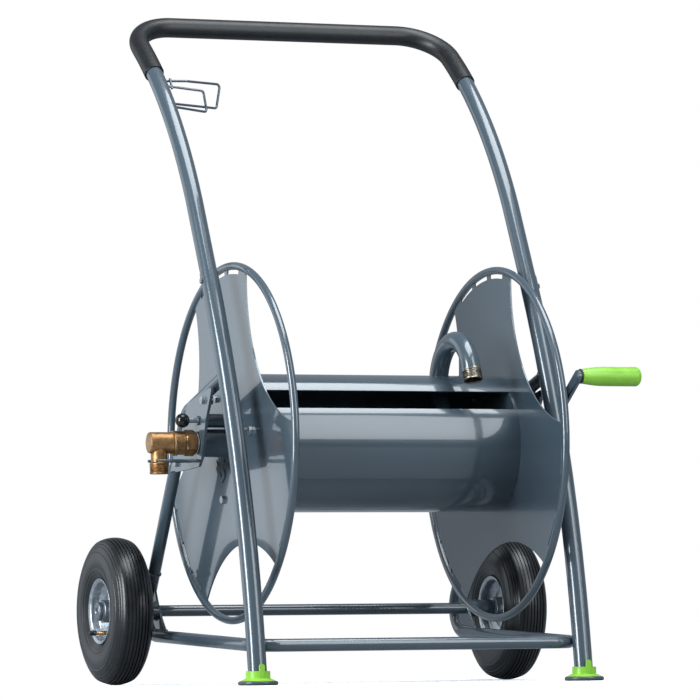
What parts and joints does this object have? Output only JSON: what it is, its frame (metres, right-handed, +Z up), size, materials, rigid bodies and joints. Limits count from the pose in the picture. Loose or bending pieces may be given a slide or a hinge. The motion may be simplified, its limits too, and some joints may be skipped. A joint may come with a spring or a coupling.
{
  "type": "garden hose reel cart",
  "caption": "Two-wheeled tubular hose reel cart with a cranked drum, water swivel, reel lock pin, hose outlet bend and a foam-covered push handle.",
  "frame": {"origin": "middle of the overall footprint, on the floor under the feet and wheels", "axes": "+X to the crank side along the reel's axis, +Y backwards from the feet to the wheels, +Z up"},
  "size_m": [0.876, 0.6976, 1.2001],
  "materials": {
    "powder_coat": "smooth gloss blue-grey powder coat",
    "zinc_plate": "bright zinc-plated steel",
    "grip_foam": "matt closed-cell foam",
    "green_plastic": "moulded satin plastic",
    "foot_rubber": "satin moulded rubber",
    "brass": "cast and turned brass",
    "nickel_plate": "nickel-plated brass",
    "black_plastic": "moulded gloss plastic",
    "seal_rubber": "soft rubber",
    "tyre_rubber": "black tyre rubber"
  },
  "bodies": {
    "root": {"left_leg": "powder_coat", "right_leg": "powder_coat", "handle_tube": "powder_coat", "handle_grip": "grip_foam", "handle_screws": "zinc_plate", "left_foot": "green_plastic", "right_foot": "green_plastic", "foot_plates": "foot_rubber", "base_loop": "powder_coat", "left_rear_leg": "powder_coat", "right_rear_leg": "powder_coat", "left_gusset": "powder_coat", "right_gusset": "powder_coat", "axle": "powder_coat", "axle_sleeves": "powder_coat", "axle_washers": "zinc_plate", "axle_caps": "zinc_plate", "left_bearing_plate": "powder_coat", "right_bearing_plate": "powder_coat", "bearing_bushes": "black_plastic", "bearing_tabs": "powder_coat", "bearing_bolts": "zinc_plate", "swivel_body": "brass", "swivel_nut": "brass", "swivel_seals": "seal_rubber", "swivel_fork": "powder_coat", "lock_housing": "zinc_plate", "lock_spring": "zinc_plate", "gun_holder": "powder_coat"},
    "lock_pin": {"lock_pin": "zinc_plate", "lock_knob": "black_plastic"},
    "reel": {"left_ring": "powder_coat", "right_ring": "powder_coat", "left_side_plate": "powder_coat", "right_side_plate": "powder_coat", "drum_shell": "powder_coat", "drum_flanges": "powder_coat", "plate_bolts": "zinc_plate", "reel_pipe": "powder_coat", "gooseneck": "powder_coat", "hose_nipple": "nickel_plate", "hub_sleeves": "powder_coat", "drive_shaft": "powder_coat", "crank_arm": "powder_coat", "crank_bolt": "zinc_plate", "grip_spindle": "zinc_plate", "strap_lug": "powder_coat"},
    "crank_grip": {"crank_grip": "green_plastic"},
    "left_wheel": {"left_tyre": "tyre_rubber", "left_inner_tube": "seal_rubber", "left_rim": "zinc_plate", "left_wheel_hub": "zinc_plate", "left_valve": "brass"},
    "right_wheel": {"right_tyre": "tyre_rubber", "right_inner_tube": "seal_rubber", "right_rim": "zinc_plate", "right_wheel_hub": "zinc_plate", "right_valve": "brass"}
  },
  "joints": [
    {"name": "reel_spin", "type": "hinge", "parent": "root", "child": "reel", "pos_m": [-0.014, -0.03559, 0.4169], "axis": [1, 0, 0], "continuous": true},
    {"name": "crank_grip_spin", "type": "hinge", "parent": "reel", "child": "crank_grip", "pos_m": [0.327, -0.20462, 0.52878], "axis": [1, 0, 0], "continuous": true},
    {"name": "left_wheel_spin", "type": "hinge", "parent": "root", "child": "left_wheel", "pos_m": [-0.3895, 0.21731, 0.13], "axis": [1, 0, 0], "continuous": true},
    {"name": "right_wheel_spin", "type": "hinge", "parent": "root", "child": "right_wheel", "pos_m": [0.3615, 0.21731, 0.13], "axis": [1, 0, 0], "continuous": true},
    {"name": "lock_pin_slide", "type": "slide", "parent": "root", "child": "lock_pin", "axis": [1, 0, 0], "range_m": [0, 0.012], "deforming": ["lock_spring"]}
  ]
}
